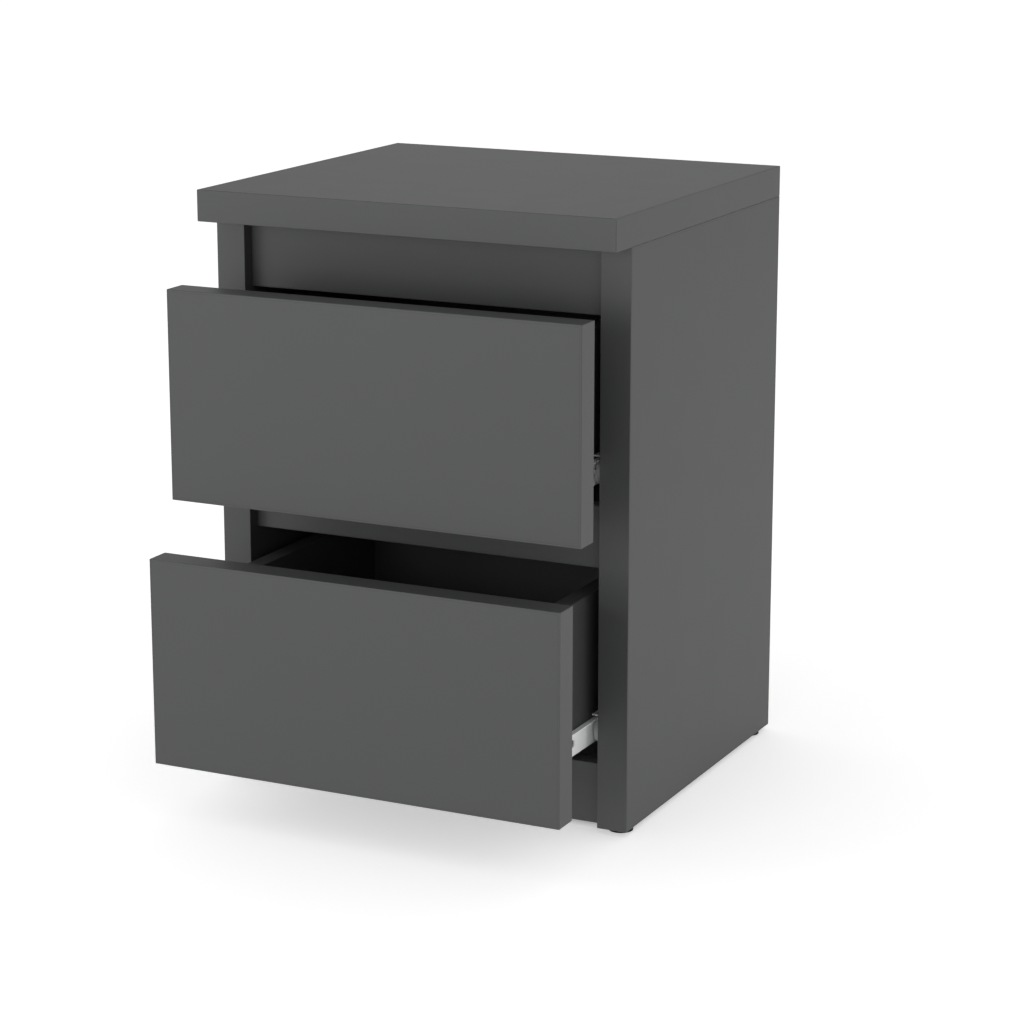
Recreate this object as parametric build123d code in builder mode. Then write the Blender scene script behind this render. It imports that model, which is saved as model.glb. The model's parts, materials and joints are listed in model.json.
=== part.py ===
from build123d import *
from collections import namedtuple
import os

# Bedside cabinet of melamine-faced board. An overhanging top lies on two thick side panels, four
# rails tie the sides together, and two drawers with plain slab fronts run on roller runners.
# X is left to right, Y is front to back and +Z is up. The origin is on the floor, in the middle
# of the footprint that the cabinet covers with its drawers pulled out as far as they stand here.

os.makedirs("parts", exist_ok=True)

Screw = namedtuple("Screw", "shank head length proud")
Nail = namedtuple("Nail", "shank head thickness length")
Wheel = namedtuple("Wheel", "radius thickness rise setback")

# Cabinet, mm
width = 400
top_depth = 372
side_depth = 340
side_height = 512
thick_board = 28
thin_board = 16
hardboard = 3
board_round = 0.6
glide_height = 5
glide_radius = 11
glide_round = 0.4
glide_inset = 20
glide_recess = 1.4
front_rail_setback = 12
rail_height = 55
top_rail_height = 61.5
back_inset = 12
back_panel_lift = 3
groove_depth = 5.5
groove_width = 3.2
groove_end_gap = 0.5

# Drawers, mm
front_width = 393
front_height = 186.5
front_board = 25
front_gap = 2
lower_front_height = 44.5
between_fronts = 44
box_width = 318
box_height = 135
box_length = 300
box_lift = 27.5
bottom_lift = 10
pulled_out = {"upper": 63.5, "lower": 103}

# Roller runners, mm. A wheel's rise is from the drawer box's lower edge to its centre, and its
# setback from the end of the profile that carries it.
sheet = 1.2
sheet_bend = 1
runner_length = 300
profile_clearance = 1
drawer_web_height = 24
drawer_flange = 6
drawer_foot = 12
channel_low = 4.5
channel_high = 27.5
channel_depth = 10.6
channel_mouth = 26.5
ear_drop = 2
ear_height = 14
ear_corner = 3
stop_distance = 38.3
stop_width = 6
stop_height = 4
rear_relief = 25
front_wheel = Wheel(radius=11, thickness=9, rise=10.3, setback=14)
rear_wheel = Wheel(radius=10, thickness=6.8, rise=16, setback=12)
wheel_side_gap = 0.6
wheel_rim = 2.2
wheel_dish = 0.6
wheel_recess = 1.3
wheel_recess_radius = 4.4
wheel_bevel = 0.5
axle_radius = 2.5
axle_clearance = 0.06
axle_head_radius = 3.6
axle_head = 0.8
cabinet_screw_stations = (37, 133, 261)
drawer_screw_stations = (34, 160, 255)
drawer_spare_holes = (80, 215)
drawer_screw_rise = 11
spare_hole_radius = 3.6

# Fittings, mm
slack = 0.1
cam_radius = 7.4
cam_thickness = 12.2
cam_recessed = 0.3
cam_reach = 34
cam_axis_depth = 8
cam_bevel = 0.5
cam_slot = (8, 1.5, 2.4)
bolt_thread_radius = 3
bolt_thread_length = 11
bolt_neck_radius = 2
bolt_neck_start = 22
bolt_head_radius = 3.2
bolt_head_start = 29
bolt_end = 33
bolt_way = 0.6
dowel_radius = 4
dowel_short = 12
dowel_long = 18
dowel_bevel = 1
runner_screw = Screw(shank=1.75, head=3.5, length=16, proud=0.6)
box_runner_screw = Screw(shank=1.75, head=3.5, length=12, proud=0.6)
corner_screw = Screw(shank=2, head=4, length=40, proud=0)
screw_rim = 0.3
panel_nail = Nail(shank=0.8, head=2.2, thickness=0.6, length=16)
glide_nail = Nail(shank=1.1, head=3, thickness=0.8, length=16)

# Stations of the fittings, mm: from the top's front edge, from a rail's lower edge, or from a
# drawer box's lower edge
top_cam_stations = (92, 312)
top_dowel_stations = (140, 264)
rail_cam_height = 17.5
rail_dowel_height = 41.5
box_cam_heights = (42, 116)
box_dowel_heights = (79,)
corner_screw_heights = (45, 105)
back_nail_stations = (-130, 0, 130)
bottom_nail_stations = (-110, 0, 110)

# Places worked out from the driving dimensions
half_width = width / 2
inner_side = half_width - thick_board
front_setback = top_depth - side_depth - front_gap - front_board
back = (top_depth + pulled_out["lower"] - front_setback) / 2
top_front = back - top_depth
side_front = back - side_depth
side_top = glide_height + side_height
rail_front = side_front + front_rail_setback
back_panel_rear = back - back_inset
groove_slack = (groove_width - hardboard) / 2
back_groove_front = back_panel_rear - hardboard - groove_slack
box_half = box_width / 2
box_inner = box_half - thin_board
lower_front_bottom = glide_height + lower_front_height
middle_rail_bottom = lower_front_bottom + front_height
front_bottoms = {"lower": lower_front_bottom, "upper": middle_rail_bottom + between_fronts}
hands = {"left": -1, "right": 1}

# Each rail: its front face, its lower edge, its height and the way its cams face along Y
rails = {
    "top_rail": (rail_front, side_top - top_rail_height, top_rail_height, 1),
    "middle_rail": (rail_front, middle_rail_bottom, rail_height, 1),
    "plinth_rail": (rail_front, glide_height, rail_height, 1),
    "rear_rail": (back_groove_front - thin_board, glide_height, rail_height, -1),
}

upright = (Align.CENTER, Align.CENTER, Align.MIN)


def block(low, high, mode=Mode.ADD):
    """Add or cut a block between two opposite corners, given in either order along X."""
    size = [abs(b - a) for a, b in zip(low, high)]
    with Locations([tuple((a + b) / 2 for a, b in zip(low, high))]):
        Box(*size, mode=mode)


def slab(low, high):
    """Add a board between two opposite corners, with its edges just taken off."""
    block(low, high)
    fillet(edges(Select.LAST), board_round)


def rod(plane, radius, start, end, mode=Mode.ADD):
    """Add or cut a round bar along a plane's normal, from one distance to another."""
    with Locations(plane.location * Location((0, 0, start))):
        Cylinder(radius, end - start, align=upright, mode=mode)


def taper(plane, radius, end_radius, start, end, mode=Mode.ADD):
    """Add or cut a cone frustum along a plane's normal, from one distance to another."""
    with Locations(plane.location * Location((0, 0, start))):
        Cone(radius, end_radius, end - start, align=upright, mode=mode)


def on_hand(planes, hand):
    """Those of the planes that lie on one side of the middle."""
    return [plane for plane in planes if plane.origin.X * hand > 0]


# ------------------------------------------------------------------ fittings
# A joint's plane lies in the joint with its normal pointing into the board that holds the cam,
# and its X direction points at the face that the cam is turned from.


def top_joints(stations, depth):
    """Planes between the top and the side panels, at a depth from their inner faces."""
    return [
        Plane((hand * (inner_side + depth), top_front + y, side_top), (-hand, 0, 0), (0, 0, -1))
        for hand in hands.values()
        for y in stations
    ]


def rail_joints(name, height):
    """Planes on a rail's two ends, at a height above its lower edge."""
    face, bottom, _, cam_way = rails[name]
    return [
        Plane(
            (hand * inner_side, face + thin_board / 2, bottom + height), (0, cam_way, 0), (-hand, 0, 0)
        )
        for hand in hands.values()
    ]


def box_joints(level, heights):
    """Planes between a front's rear face and the box sides, at heights above their lower edge."""
    return [
        Plane(
            (hand * (box_half - thin_board / 2), front_rear(level), box_bottom(level) + z),
            (hand, 0, 0),
            (0, 1, 0),
        )
        for hand in hands.values()
        for z in heights
    ]


def cut_cam_pockets(joints):
    """Bore the cam's pocket and the bolt's way to it, in the board that holds the cam."""
    for joint in joints:
        rod(joint, bolt_head_radius + bolt_way, -slack, cam_reach, Mode.SUBTRACT)
        with Locations(joint.location * Location((cam_axis_depth, 0, cam_reach), (0, -90, 0))):
            depth = cam_thickness + cam_recessed + slack
            Cylinder(cam_radius + slack, depth, align=upright, mode=Mode.SUBTRACT)


def cut_bolt_holes(joints):
    """Bore the holes that the cam bolts screw into, on the other side of the joint."""
    for joint in joints:
        rod(joint, bolt_thread_radius + slack, -bolt_thread_length - slack, slack, Mode.SUBTRACT)


def cut_dowel_holes(joints):
    """Bore for the dowels on both sides of the joint."""
    for joint in joints:
        rod(joint, dowel_radius + slack, -dowel_short - slack, dowel_long + slack, Mode.SUBTRACT)


def add_cams(joints):
    """Eccentric cams, each with a cross slot in its face and a way in for the bolt's head."""
    for joint in joints:
        face_depth = cam_axis_depth - cam_recessed
        with Locations(joint.location * Location((face_depth, 0, cam_reach), (0, -90, 0))):
            Cylinder(cam_radius, cam_thickness, align=upright)
            chamfer(edges(Select.LAST).filter_by(GeomType.CIRCLE), cam_bevel)
            for turn in (45, 135):
                Box(*cam_slot, rotation=(0, 0, turn), align=upright, mode=Mode.SUBTRACT)
        rod(joint, bolt_head_radius + 3 * slack, cam_reach - cam_radius - 1, cam_reach + 1, Mode.SUBTRACT)


def add_cam_bolts(joints):
    """Cam bolts: a thread in one board, and a shank, a neck and a head in the other."""
    for joint in joints:
        rod(joint, bolt_thread_radius, -bolt_thread_length, bolt_neck_start)
        rod(joint, bolt_neck_radius, bolt_neck_start, bolt_head_start)
        rod(joint, bolt_head_radius, bolt_head_start, bolt_end)


def add_dowels(joints):
    """Beech dowels with bevelled ends."""
    for joint in joints:
        rod(joint, dowel_radius, -dowel_short, dowel_long)
        chamfer(edges(Select.LAST).filter_by(GeomType.CIRCLE), dowel_bevel)


def add_screw(plane, screw):
    """A cross-head countersunk screw driven along a plane's normal from the face it holds."""
    head_top = -screw.proud
    head_end = head_top + screw_rim + screw.head - screw.shank
    tip_start = screw.length - 2 * screw.shank
    rod(plane, screw.head, head_top, head_top + screw_rim)
    taper(plane, screw.head, screw.shank, head_top + screw_rim, head_end)
    rod(plane, screw.shank, head_end, tip_start)
    taper(plane, screw.shank, slack, tip_start, screw.length)
    with Locations(plane.location * Location((0, 0, head_top))):
        for turn in (0, 90):
            Box(
                1.1 * screw.head,
                0.28 * screw.head,
                0.5 * screw.head,
                rotation=(0, 0, turn),
                align=upright,
                mode=Mode.SUBTRACT,
            )


def cut_screw_hole(plane, screw):
    """The hole and the countersink that a screw goes into."""
    head_top = -screw.proud
    cone_start = head_top + screw_rim
    cone_end = cone_start + screw.head - screw.shank
    rod(plane, screw.head + slack, head_top - 1, cone_start, Mode.SUBTRACT)
    taper(plane, screw.head + slack, screw.shank + slack, cone_start, cone_end, Mode.SUBTRACT)
    rod(plane, screw.shank + slack, 0, screw.length + slack, Mode.SUBTRACT)


def add_nails(planes, nail):
    """Flat-headed nails whose heads lie on the plane."""
    for plane in planes:
        rod(plane, nail.head, -nail.thickness, 0)
        rod(plane, nail.shank, 0, nail.length)


def cut_nail_holes(planes, nail):
    """The holes that nails go into."""
    for plane in planes:
        rod(plane, nail.shank + slack, -slack, nail.length + slack, Mode.SUBTRACT)


# ------------------------------------------------------------------ places of the moving parts


def box_bottom(level):
    """Height of a drawer box's lower edge."""
    return front_bottoms[level] + box_lift


def front_rear(level):
    """Where a front's rear face stands, which is also where its box and runners start."""
    return side_front - front_gap - pulled_out[level]


def front_axle(level, hand):
    """Plane on a side panel's inner face where a front wheel's axle starts."""
    rise = box_bottom(level) + front_wheel.rise
    return Plane((hand * inner_side, rail_front + front_wheel.setback, rise), (0, 1, 0), (-hand, 0, 0))


def rear_axle(level, hand):
    """Plane on a box side's outer face where a rear wheel's axle starts."""
    y = front_rear(level) + runner_length - rear_wheel.setback
    return Plane((hand * box_half, y, box_bottom(level) + rear_wheel.rise), (0, 1, 0), (hand, 0, 0))


def cabinet_screws(level, hand):
    """Planes of the screws that hold a cabinet profile to its side panel."""
    x = hand * (inner_side - sheet)
    z = box_bottom(level) + rear_wheel.rise
    return [Plane((x, rail_front + y, z), (0, 1, 0), (hand, 0, 0)) for y in cabinet_screw_stations]


def drawer_screws(level, hand):
    """Planes of the screws that hold a drawer profile to its box side."""
    x = hand * (box_half + sheet)
    z = box_bottom(level) + drawer_screw_rise
    return [Plane((x, front_rear(level) + y, z), (0, 1, 0), (-hand, 0, 0)) for y in drawer_screw_stations]


def corner_screws(level, hand):
    """Planes of the screws through a box side into the box's back."""
    x = hand * box_half
    y = front_rear(level) + box_length - thin_board / 2
    return [Plane((x, y, box_bottom(level) + z), (0, 1, 0), (-hand, 0, 0)) for z in corner_screw_heights]


# ------------------------------------------------------------------ cabinet

top_cams = top_joints(top_cam_stations, cam_axis_depth)
top_dowels = top_joints(top_dowel_stations, thick_board / 2)
rail_cams = [joint for name in rails for joint in rail_joints(name, rail_cam_height)]
rail_dowels = [joint for name in rails for joint in rail_joints(name, rail_dowel_height)]
back_nails = [
    Plane((x, back_panel_rear, glide_height + rail_height / 2), (1, 0, 0), (0, -1, 0))
    for x in back_nail_stations
]
glide_feet = {
    (end, side): Plane((hand * (half_width - thick_board / 2), y, 0))
    for side, hand in hands.items()
    for end, y in (("front", side_front + glide_inset), ("rear", back - glide_inset))
}
glide_nail_planes = [foot.offset(glide_recess) for foot in glide_feet.values()]

with BuildPart() as top_panel:
    slab((-half_width, top_front, side_top), (half_width, back, side_top + thick_board))
    cut_bolt_holes(top_cams)
    cut_dowel_holes(top_dowels)
top_panel.part.label = "top_panel"
export_step(top_panel.part, "parts/top_panel.step")

for side, hand in hands.items():
    with BuildPart() as side_panel:
        slab((hand * inner_side, side_front, glide_height), (hand * half_width, back, side_top))
        cut_cam_pockets(on_hand(top_cams, hand))
        cut_bolt_holes(on_hand(rail_cams, hand))
        cut_dowel_holes(on_hand(top_dowels + rail_dowels, hand))
        block(
            (hand * (inner_side - 1), back_groove_front, glide_height - 1),
            (hand * (inner_side + groove_depth), back_groove_front + groove_width, side_top + 1),
            Mode.SUBTRACT,
        )
        cut_nail_holes(on_hand(glide_nail_planes, hand), glide_nail)
        for level in front_bottoms:
            for plane in cabinet_screws(level, hand):
                cut_screw_hole(plane, runner_screw)
    side_panel.part.label = f"{side}_side_panel"
    export_step(side_panel.part, f"parts/{side}_side_panel.step")

for name, (face, bottom, height, _) in rails.items():
    with BuildPart() as rail:
        slab((-inner_side, face, bottom), (inner_side, face + thin_board, bottom + height))
        cut_cam_pockets(rail_joints(name, rail_cam_height))
        cut_dowel_holes(rail_joints(name, rail_dowel_height))
        if name == "rear_rail":
            cut_nail_holes(back_nails, panel_nail)
    rail.part.label = name
    export_step(rail.part, f"parts/{name}.step")

with BuildPart() as back_panel:
    half_panel = inner_side + groove_depth - groove_end_gap
    panel_bottom = glide_height + back_panel_lift
    block((-half_panel, back_panel_rear - hardboard, panel_bottom), (half_panel, back_panel_rear, side_top))
    cut_nail_holes(back_nails, panel_nail)
back_panel.part.label = "back_panel"
export_step(back_panel.part, "parts/back_panel.step")

with BuildPart() as back_panel_nails:
    add_nails(back_nails, panel_nail)
back_panel_nails.part.label = "back_panel_nails"
export_step(back_panel_nails.part, "parts/back_panel_nails.step")

with BuildPart() as cabinet_cams:
    add_cams(top_cams + rail_cams)
cabinet_cams.part.label = "cabinet_cams"
export_step(cabinet_cams.part, "parts/cabinet_cams.step")

with BuildPart() as cabinet_cam_bolts:
    add_cam_bolts(top_cams + rail_cams)
cabinet_cam_bolts.part.label = "cabinet_cam_bolts"
export_step(cabinet_cam_bolts.part, "parts/cabinet_cam_bolts.step")

with BuildPart() as cabinet_dowels:
    add_dowels(top_dowels + rail_dowels)
cabinet_dowels.part.label = "cabinet_dowels"
export_step(cabinet_dowels.part, "parts/cabinet_dowels.step")

for (end, side), foot in glide_feet.items():
    with BuildPart() as glide:
        rod(foot, glide_radius, 0, glide_height)
        fillet(glide.edges().group_by(Axis.Z)[0], glide_round)
        rod(foot, glide_nail.head + slack, -slack, glide_recess, Mode.SUBTRACT)
        rod(foot, glide_nail.shank + slack, 0, glide_height + slack, Mode.SUBTRACT)
    glide.part.label = f"{end}_{side}_glide"
    export_step(glide.part, f"parts/{end}_{side}_glide.step")

with BuildPart() as glide_nails:
    add_nails(glide_nail_planes, glide_nail)
glide_nails.part.label = "glide_nails"
export_step(glide_nails.part, "parts/glide_nails.step")

# ------------------------------------------------------------------ runners


def sheet_profile(start, length, points):
    """Bend sheet to a section's middle line, given as points in X and Z, and run it along Y."""
    with BuildSketch(Plane.XZ.offset(-start)) as section:
        with BuildLine():
            FilletPolyline(*points, radius=sheet_bend)
        trace(line_width=sheet)
    extrude(section.sketch, amount=-length)


def add_wheel(plane, wheel):
    """A moulded wheel: a bevelled tread, a bore, and a stepped recess in each face."""
    rod(plane, wheel.radius, 0, wheel.thickness)
    chamfer(edges(Select.LAST).filter_by(GeomType.CIRCLE), wheel_bevel)
    for radius, depth in ((wheel.radius - wheel_rim, wheel_dish), (wheel_recess_radius, wheel_recess)):
        rod(plane, radius, -slack, depth, Mode.SUBTRACT)
        rod(plane, radius, wheel.thickness - depth, wheel.thickness + slack, Mode.SUBTRACT)
    rod(plane, axle_radius + axle_clearance, 0, wheel.thickness, Mode.SUBTRACT)


def add_axle(plane, wheel):
    """A rivet through the sheet: a shoulder behind the wheel and a head in its recess."""
    wheel_start = sheet + wheel_side_gap
    head_start = wheel_start + wheel.thickness - wheel_recess + slack
    rod(plane, axle_radius, 0, head_start)
    rod(plane, axle_head_radius, sheet, wheel_start + wheel_recess - slack)
    rod(plane, axle_head_radius, head_start, head_start + axle_head)


for level in front_bottoms:
    floor = box_bottom(level) + channel_low
    roof = box_bottom(level) + channel_high
    for side, hand in hands.items():
        web_x = hand * (inner_side - sheet / 2)
        mouth_x = hand * (inner_side - channel_depth)
        with BuildPart() as profile:
            sheet_profile(
                rail_front,
                runner_length,
                [
                    (mouth_x, floor + sheet / 2),
                    (web_x, floor + sheet / 2),
                    (web_x, roof - sheet / 2),
                    (mouth_x, roof - sheet / 2),
                ],
            )
            block(
                (hand * (inner_side - sheet), rail_front - 1, floor - 1),
                (mouth_x - hand, rail_front + channel_mouth, floor + sheet + sheet_bend),
                Mode.SUBTRACT,
            )
            with BuildSketch(Plane.YZ.offset(web_x - sheet / 2)) as ear:
                with Locations((rail_front, box_bottom(level) - ear_drop)):
                    RectangleRounded(channel_mouth, ear_height, ear_corner, align=(Align.MIN, Align.MIN))
            extrude(ear.sketch, amount=sheet)
            stop_y = rail_front + stop_distance
            block(
                (mouth_x, stop_y, floor + sheet / 2),
                (mouth_x + hand * stop_width, stop_y + sheet, floor + sheet + stop_height),
            )
            rod(front_axle(level, hand), axle_radius + slack / 2, -slack, sheet + slack, Mode.SUBTRACT)
            for plane in cabinet_screws(level, hand):
                cut_screw_hole(plane, runner_screw)
        profile.part.label = f"{level}_{side}_cabinet_profile"
        export_step(profile.part, f"parts/{level}_{side}_cabinet_profile.step")

        with BuildPart() as roller:
            add_wheel(front_axle(level, hand).offset(sheet + wheel_side_gap), front_wheel)
        roller.part.label = f"{level}_{side}_front_wheel"
        export_step(roller.part, f"parts/{level}_{side}_front_wheel.step")

with BuildPart() as front_axles:
    for level in front_bottoms:
        for hand in hands.values():
            add_axle(front_axle(level, hand), front_wheel)
front_axles.part.label = "front_axles"
export_step(front_axles.part, "parts/front_axles.step")

with BuildPart() as cabinet_profile_screws:
    for level in front_bottoms:
        for hand in hands.values():
            for plane in cabinet_screws(level, hand):
                add_screw(plane, runner_screw)
cabinet_profile_screws.part.label = "cabinet_profile_screws"
export_step(cabinet_profile_screws.part, "parts/cabinet_profile_screws.step")

# ------------------------------------------------------------------ drawers

for level, front_bottom in front_bottoms.items():
    start = front_rear(level)
    end = start + box_length
    lower_edge = box_bottom(level)
    web_top = lower_edge - sheet + drawer_web_height
    panel_low = lower_edge + bottom_lift
    groove_reach = box_inner + groove_depth
    cam_joints = box_joints(level, box_cam_heights)
    dowel_joints = box_joints(level, box_dowel_heights)
    corner_planes = [plane for hand in hands.values() for plane in corner_screws(level, hand)]
    bottom_nails = [
        Plane((x, end - thin_board / 2, panel_low + groove_slack)) for x in bottom_nail_stations
    ]

    with BuildPart() as front:
        slab(
            (-front_width / 2, start - front_board, front_bottom),
            (front_width / 2, start, front_bottom + front_height),
        )
        cut_bolt_holes(cam_joints)
        cut_dowel_holes(dowel_joints)
        block(
            (-groove_reach, start - groove_depth, panel_low),
            (groove_reach, start + 1, panel_low + groove_width),
            Mode.SUBTRACT,
        )
    front.part.label = f"{level}_front"
    export_step(front.part, f"parts/{level}_front.step")

    for side, hand in hands.items():
        with BuildPart() as box_side:
            slab((hand * box_inner, start, lower_edge), (hand * box_half, end, lower_edge + box_height))
            cut_cam_pockets(on_hand(cam_joints, hand))
            cut_dowel_holes(on_hand(dowel_joints, hand))
            block(
                (hand * (box_inner - 1), start - 1, panel_low),
                (hand * groove_reach, end + 1, panel_low + groove_width),
                Mode.SUBTRACT,
            )
            for plane in drawer_screws(level, hand):
                cut_screw_hole(plane, box_runner_screw)
            for plane in on_hand(corner_planes, hand):
                cut_screw_hole(plane, corner_screw)
        box_side.part.label = f"{level}_box_{side}_side"
        export_step(box_side.part, f"parts/{level}_box_{side}_side.step")

        web_x = hand * (box_half + sheet / 2)
        flange_x = hand * (box_half + drawer_flange)
        with BuildPart() as profile:
            sheet_profile(
                start + profile_clearance,
                runner_length - profile_clearance,
                [
                    (hand * (box_half - drawer_foot), lower_edge - sheet / 2),
                    (web_x, lower_edge - sheet / 2),
                    (web_x, web_top - sheet / 2),
                    (flange_x, web_top - sheet / 2),
                ],
            )
            block(
                (hand * (box_half + sheet), end - rear_relief, web_top - sheet - sheet_bend),
                (flange_x + hand, end + 1, web_top + 1),
                Mode.SUBTRACT,
            )
            for y in drawer_spare_holes:
                centre = (hand * box_half, start + y, lower_edge + drawer_screw_rise)
                spare = Plane(centre, (0, 1, 0), (hand, 0, 0))
                rod(spare, spare_hole_radius, -slack, sheet + slack, Mode.SUBTRACT)
            rod(rear_axle(level, hand), axle_radius + slack / 2, -slack, sheet + slack, Mode.SUBTRACT)
            for plane in drawer_screws(level, hand):
                cut_screw_hole(plane, box_runner_screw)
        profile.part.label = f"{level}_{side}_drawer_profile"
        export_step(profile.part, f"parts/{level}_{side}_drawer_profile.step")

        with BuildPart() as roller:
            add_wheel(rear_axle(level, hand).offset(sheet + wheel_side_gap), rear_wheel)
        roller.part.label = f"{level}_{side}_rear_wheel"
        export_step(roller.part, f"parts/{level}_{side}_rear_wheel.step")

    with BuildPart() as box_back:
        slab(
            (-box_inner, end - thin_board, panel_low + groove_width),
            (box_inner, end, lower_edge + box_height),
        )
        for plane in corner_planes:
            cut_screw_hole(plane, corner_screw)
        cut_nail_holes(bottom_nails, panel_nail)
    box_back.part.label = f"{level}_box_back"
    export_step(box_back.part, f"parts/{level}_box_back.step")

    with BuildPart() as box_floor:
        half_floor = groove_reach - groove_end_gap
        block(
            (-half_floor, start - groove_depth + groove_end_gap, panel_low + groove_slack),
            (half_floor, end, panel_low + groove_slack + hardboard),
        )
        cut_nail_holes(bottom_nails, panel_nail)
    box_floor.part.label = f"{level}_box_floor"
    export_step(box_floor.part, f"parts/{level}_box_floor.step")

    with BuildPart() as box_cams:
        add_cams(cam_joints)
    box_cams.part.label = f"{level}_box_cams"
    export_step(box_cams.part, f"parts/{level}_box_cams.step")

    with BuildPart() as box_cam_bolts:
        add_cam_bolts(cam_joints)
    box_cam_bolts.part.label = f"{level}_box_cam_bolts"
    export_step(box_cam_bolts.part, f"parts/{level}_box_cam_bolts.step")

    with BuildPart() as box_dowels:
        add_dowels(dowel_joints)
    box_dowels.part.label = f"{level}_box_dowels"
    export_step(box_dowels.part, f"parts/{level}_box_dowels.step")

    with BuildPart() as box_corner_screws:
        for plane in corner_planes:
            add_screw(plane, corner_screw)
    box_corner_screws.part.label = f"{level}_box_corner_screws"
    export_step(box_corner_screws.part, f"parts/{level}_box_corner_screws.step")

    with BuildPart() as drawer_profile_screws:
        for hand in hands.values():
            for plane in drawer_screws(level, hand):
                add_screw(plane, box_runner_screw)
    drawer_profile_screws.part.label = f"{level}_drawer_profile_screws"
    export_step(drawer_profile_screws.part, f"parts/{level}_drawer_profile_screws.step")

    with BuildPart() as box_floor_nails:
        add_nails(bottom_nails, panel_nail)
    box_floor_nails.part.label = f"{level}_box_floor_nails"
    export_step(box_floor_nails.part, f"parts/{level}_box_floor_nails.step")

    with BuildPart() as rear_axles:
        for hand in hands.values():
            add_axle(rear_axle(level, hand), rear_wheel)
    rear_axles.part.label = f"{level}_rear_axles"
    export_step(rear_axles.part, f"parts/{level}_rear_axles.step")
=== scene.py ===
import json
import math

import bmesh
import bpy
from bpy.props import FloatProperty, FloatVectorProperty, IntProperty, PointerProperty
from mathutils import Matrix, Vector


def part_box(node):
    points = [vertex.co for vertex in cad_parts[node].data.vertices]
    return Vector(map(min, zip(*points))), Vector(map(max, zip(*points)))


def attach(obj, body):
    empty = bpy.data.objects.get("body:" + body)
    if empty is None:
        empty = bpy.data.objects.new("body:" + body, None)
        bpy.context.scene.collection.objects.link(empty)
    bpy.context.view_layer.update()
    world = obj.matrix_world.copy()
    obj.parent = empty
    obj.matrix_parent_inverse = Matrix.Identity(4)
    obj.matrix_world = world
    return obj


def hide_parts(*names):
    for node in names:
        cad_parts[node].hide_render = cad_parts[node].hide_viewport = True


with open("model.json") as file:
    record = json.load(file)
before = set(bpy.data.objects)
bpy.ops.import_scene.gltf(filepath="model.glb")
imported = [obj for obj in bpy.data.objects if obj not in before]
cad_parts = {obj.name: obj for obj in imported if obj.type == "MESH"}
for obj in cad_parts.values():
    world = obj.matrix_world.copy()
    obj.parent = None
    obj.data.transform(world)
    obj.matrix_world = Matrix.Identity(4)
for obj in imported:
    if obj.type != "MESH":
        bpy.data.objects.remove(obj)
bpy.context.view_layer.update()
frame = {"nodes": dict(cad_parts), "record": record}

bl_info = {
    "name": "Bedside cabinet",
    "version": (1, 0, 0),
    "blender": (4, 5, 0),
    "location": "3D View > Sidebar > Cabinet",
    "description": "Finishes, fittings and studio for a bedside cabinet with two drawers",
    "category": "Object",
}

MM = 0.001
THICK_BOARD = 20 * MM  # boards thicker than this have the thick edge band
SHARP_EDGE = math.radians(30)  # edges that bend more than this aren't smoothed
THREAD_STEPS = 14  # straight pieces in one turn of a thread
FLUTES = 20  # flutes round a dowel
END_ZONE = 0.3 * MM  # how near a fixing's end its width is measured
LEVELS = ("upper", "lower")
SIDES = ("left", "right")
BODIES = frame["record"]["behaviour"]["bodies"]
BODY_OF = {node: body for body, members in BODIES.items() for node in members}

# Boards of faced chipboard, with the cut edges that carry no edge band: (axis, 0 for the low end or
# 1 for the high end)
BARE_EDGES = {
    "top_panel": [],
    "left_side_panel": [(2, 1)],
    "right_side_panel": [(2, 1)],
    "top_rail": [(0, 0), (0, 1), (2, 1)],
    "middle_rail": [(0, 0), (0, 1)],
    "plinth_rail": [(0, 0), (0, 1)],
    "rear_rail": [(0, 0), (0, 1), (2, 0)],
    **{f"{level}_front": [] for level in LEVELS},
    **{f"{level}_box_{side}_side": [(1, 0), (2, 0)] for level in LEVELS for side in SIDES},
    **{f"{level}_box_back": [(0, 0), (0, 1), (2, 0)] for level in LEVELS},
}

# Sheets of lacquered hardboard
SHEETS = ("back_panel", *(f"{level}_box_floor" for level in LEVELS))


# ------------------------------------------------------------------ settings


def length(name, description, default):
    """A length in metres."""
    return FloatProperty(
        name=name, description=description, default=default, min=0, precision=5, unit="LENGTH"
    )


def share(name, description, default):
    """A number from 0 to 1."""
    return FloatProperty(name=name, description=description, default=default, min=0, max=1, subtype="FACTOR")


def colour(name, description, default):
    """A linear colour."""
    return FloatVectorProperty(
        name=name, description=description, default=default, min=0, max=1, size=3, subtype="COLOR"
    )


def angle(name, description, default):
    """An angle, with its default in degrees."""
    return FloatProperty(
        name=name, description=description, default=math.radians(default), subtype="ANGLE", unit="ROTATION"
    )


def lamp_power(name, lamp, default):
    """The power of a lamp in watts."""
    return FloatProperty(name=name, description=f"Power of {lamp}", default=default, min=0, unit="POWER")


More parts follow.
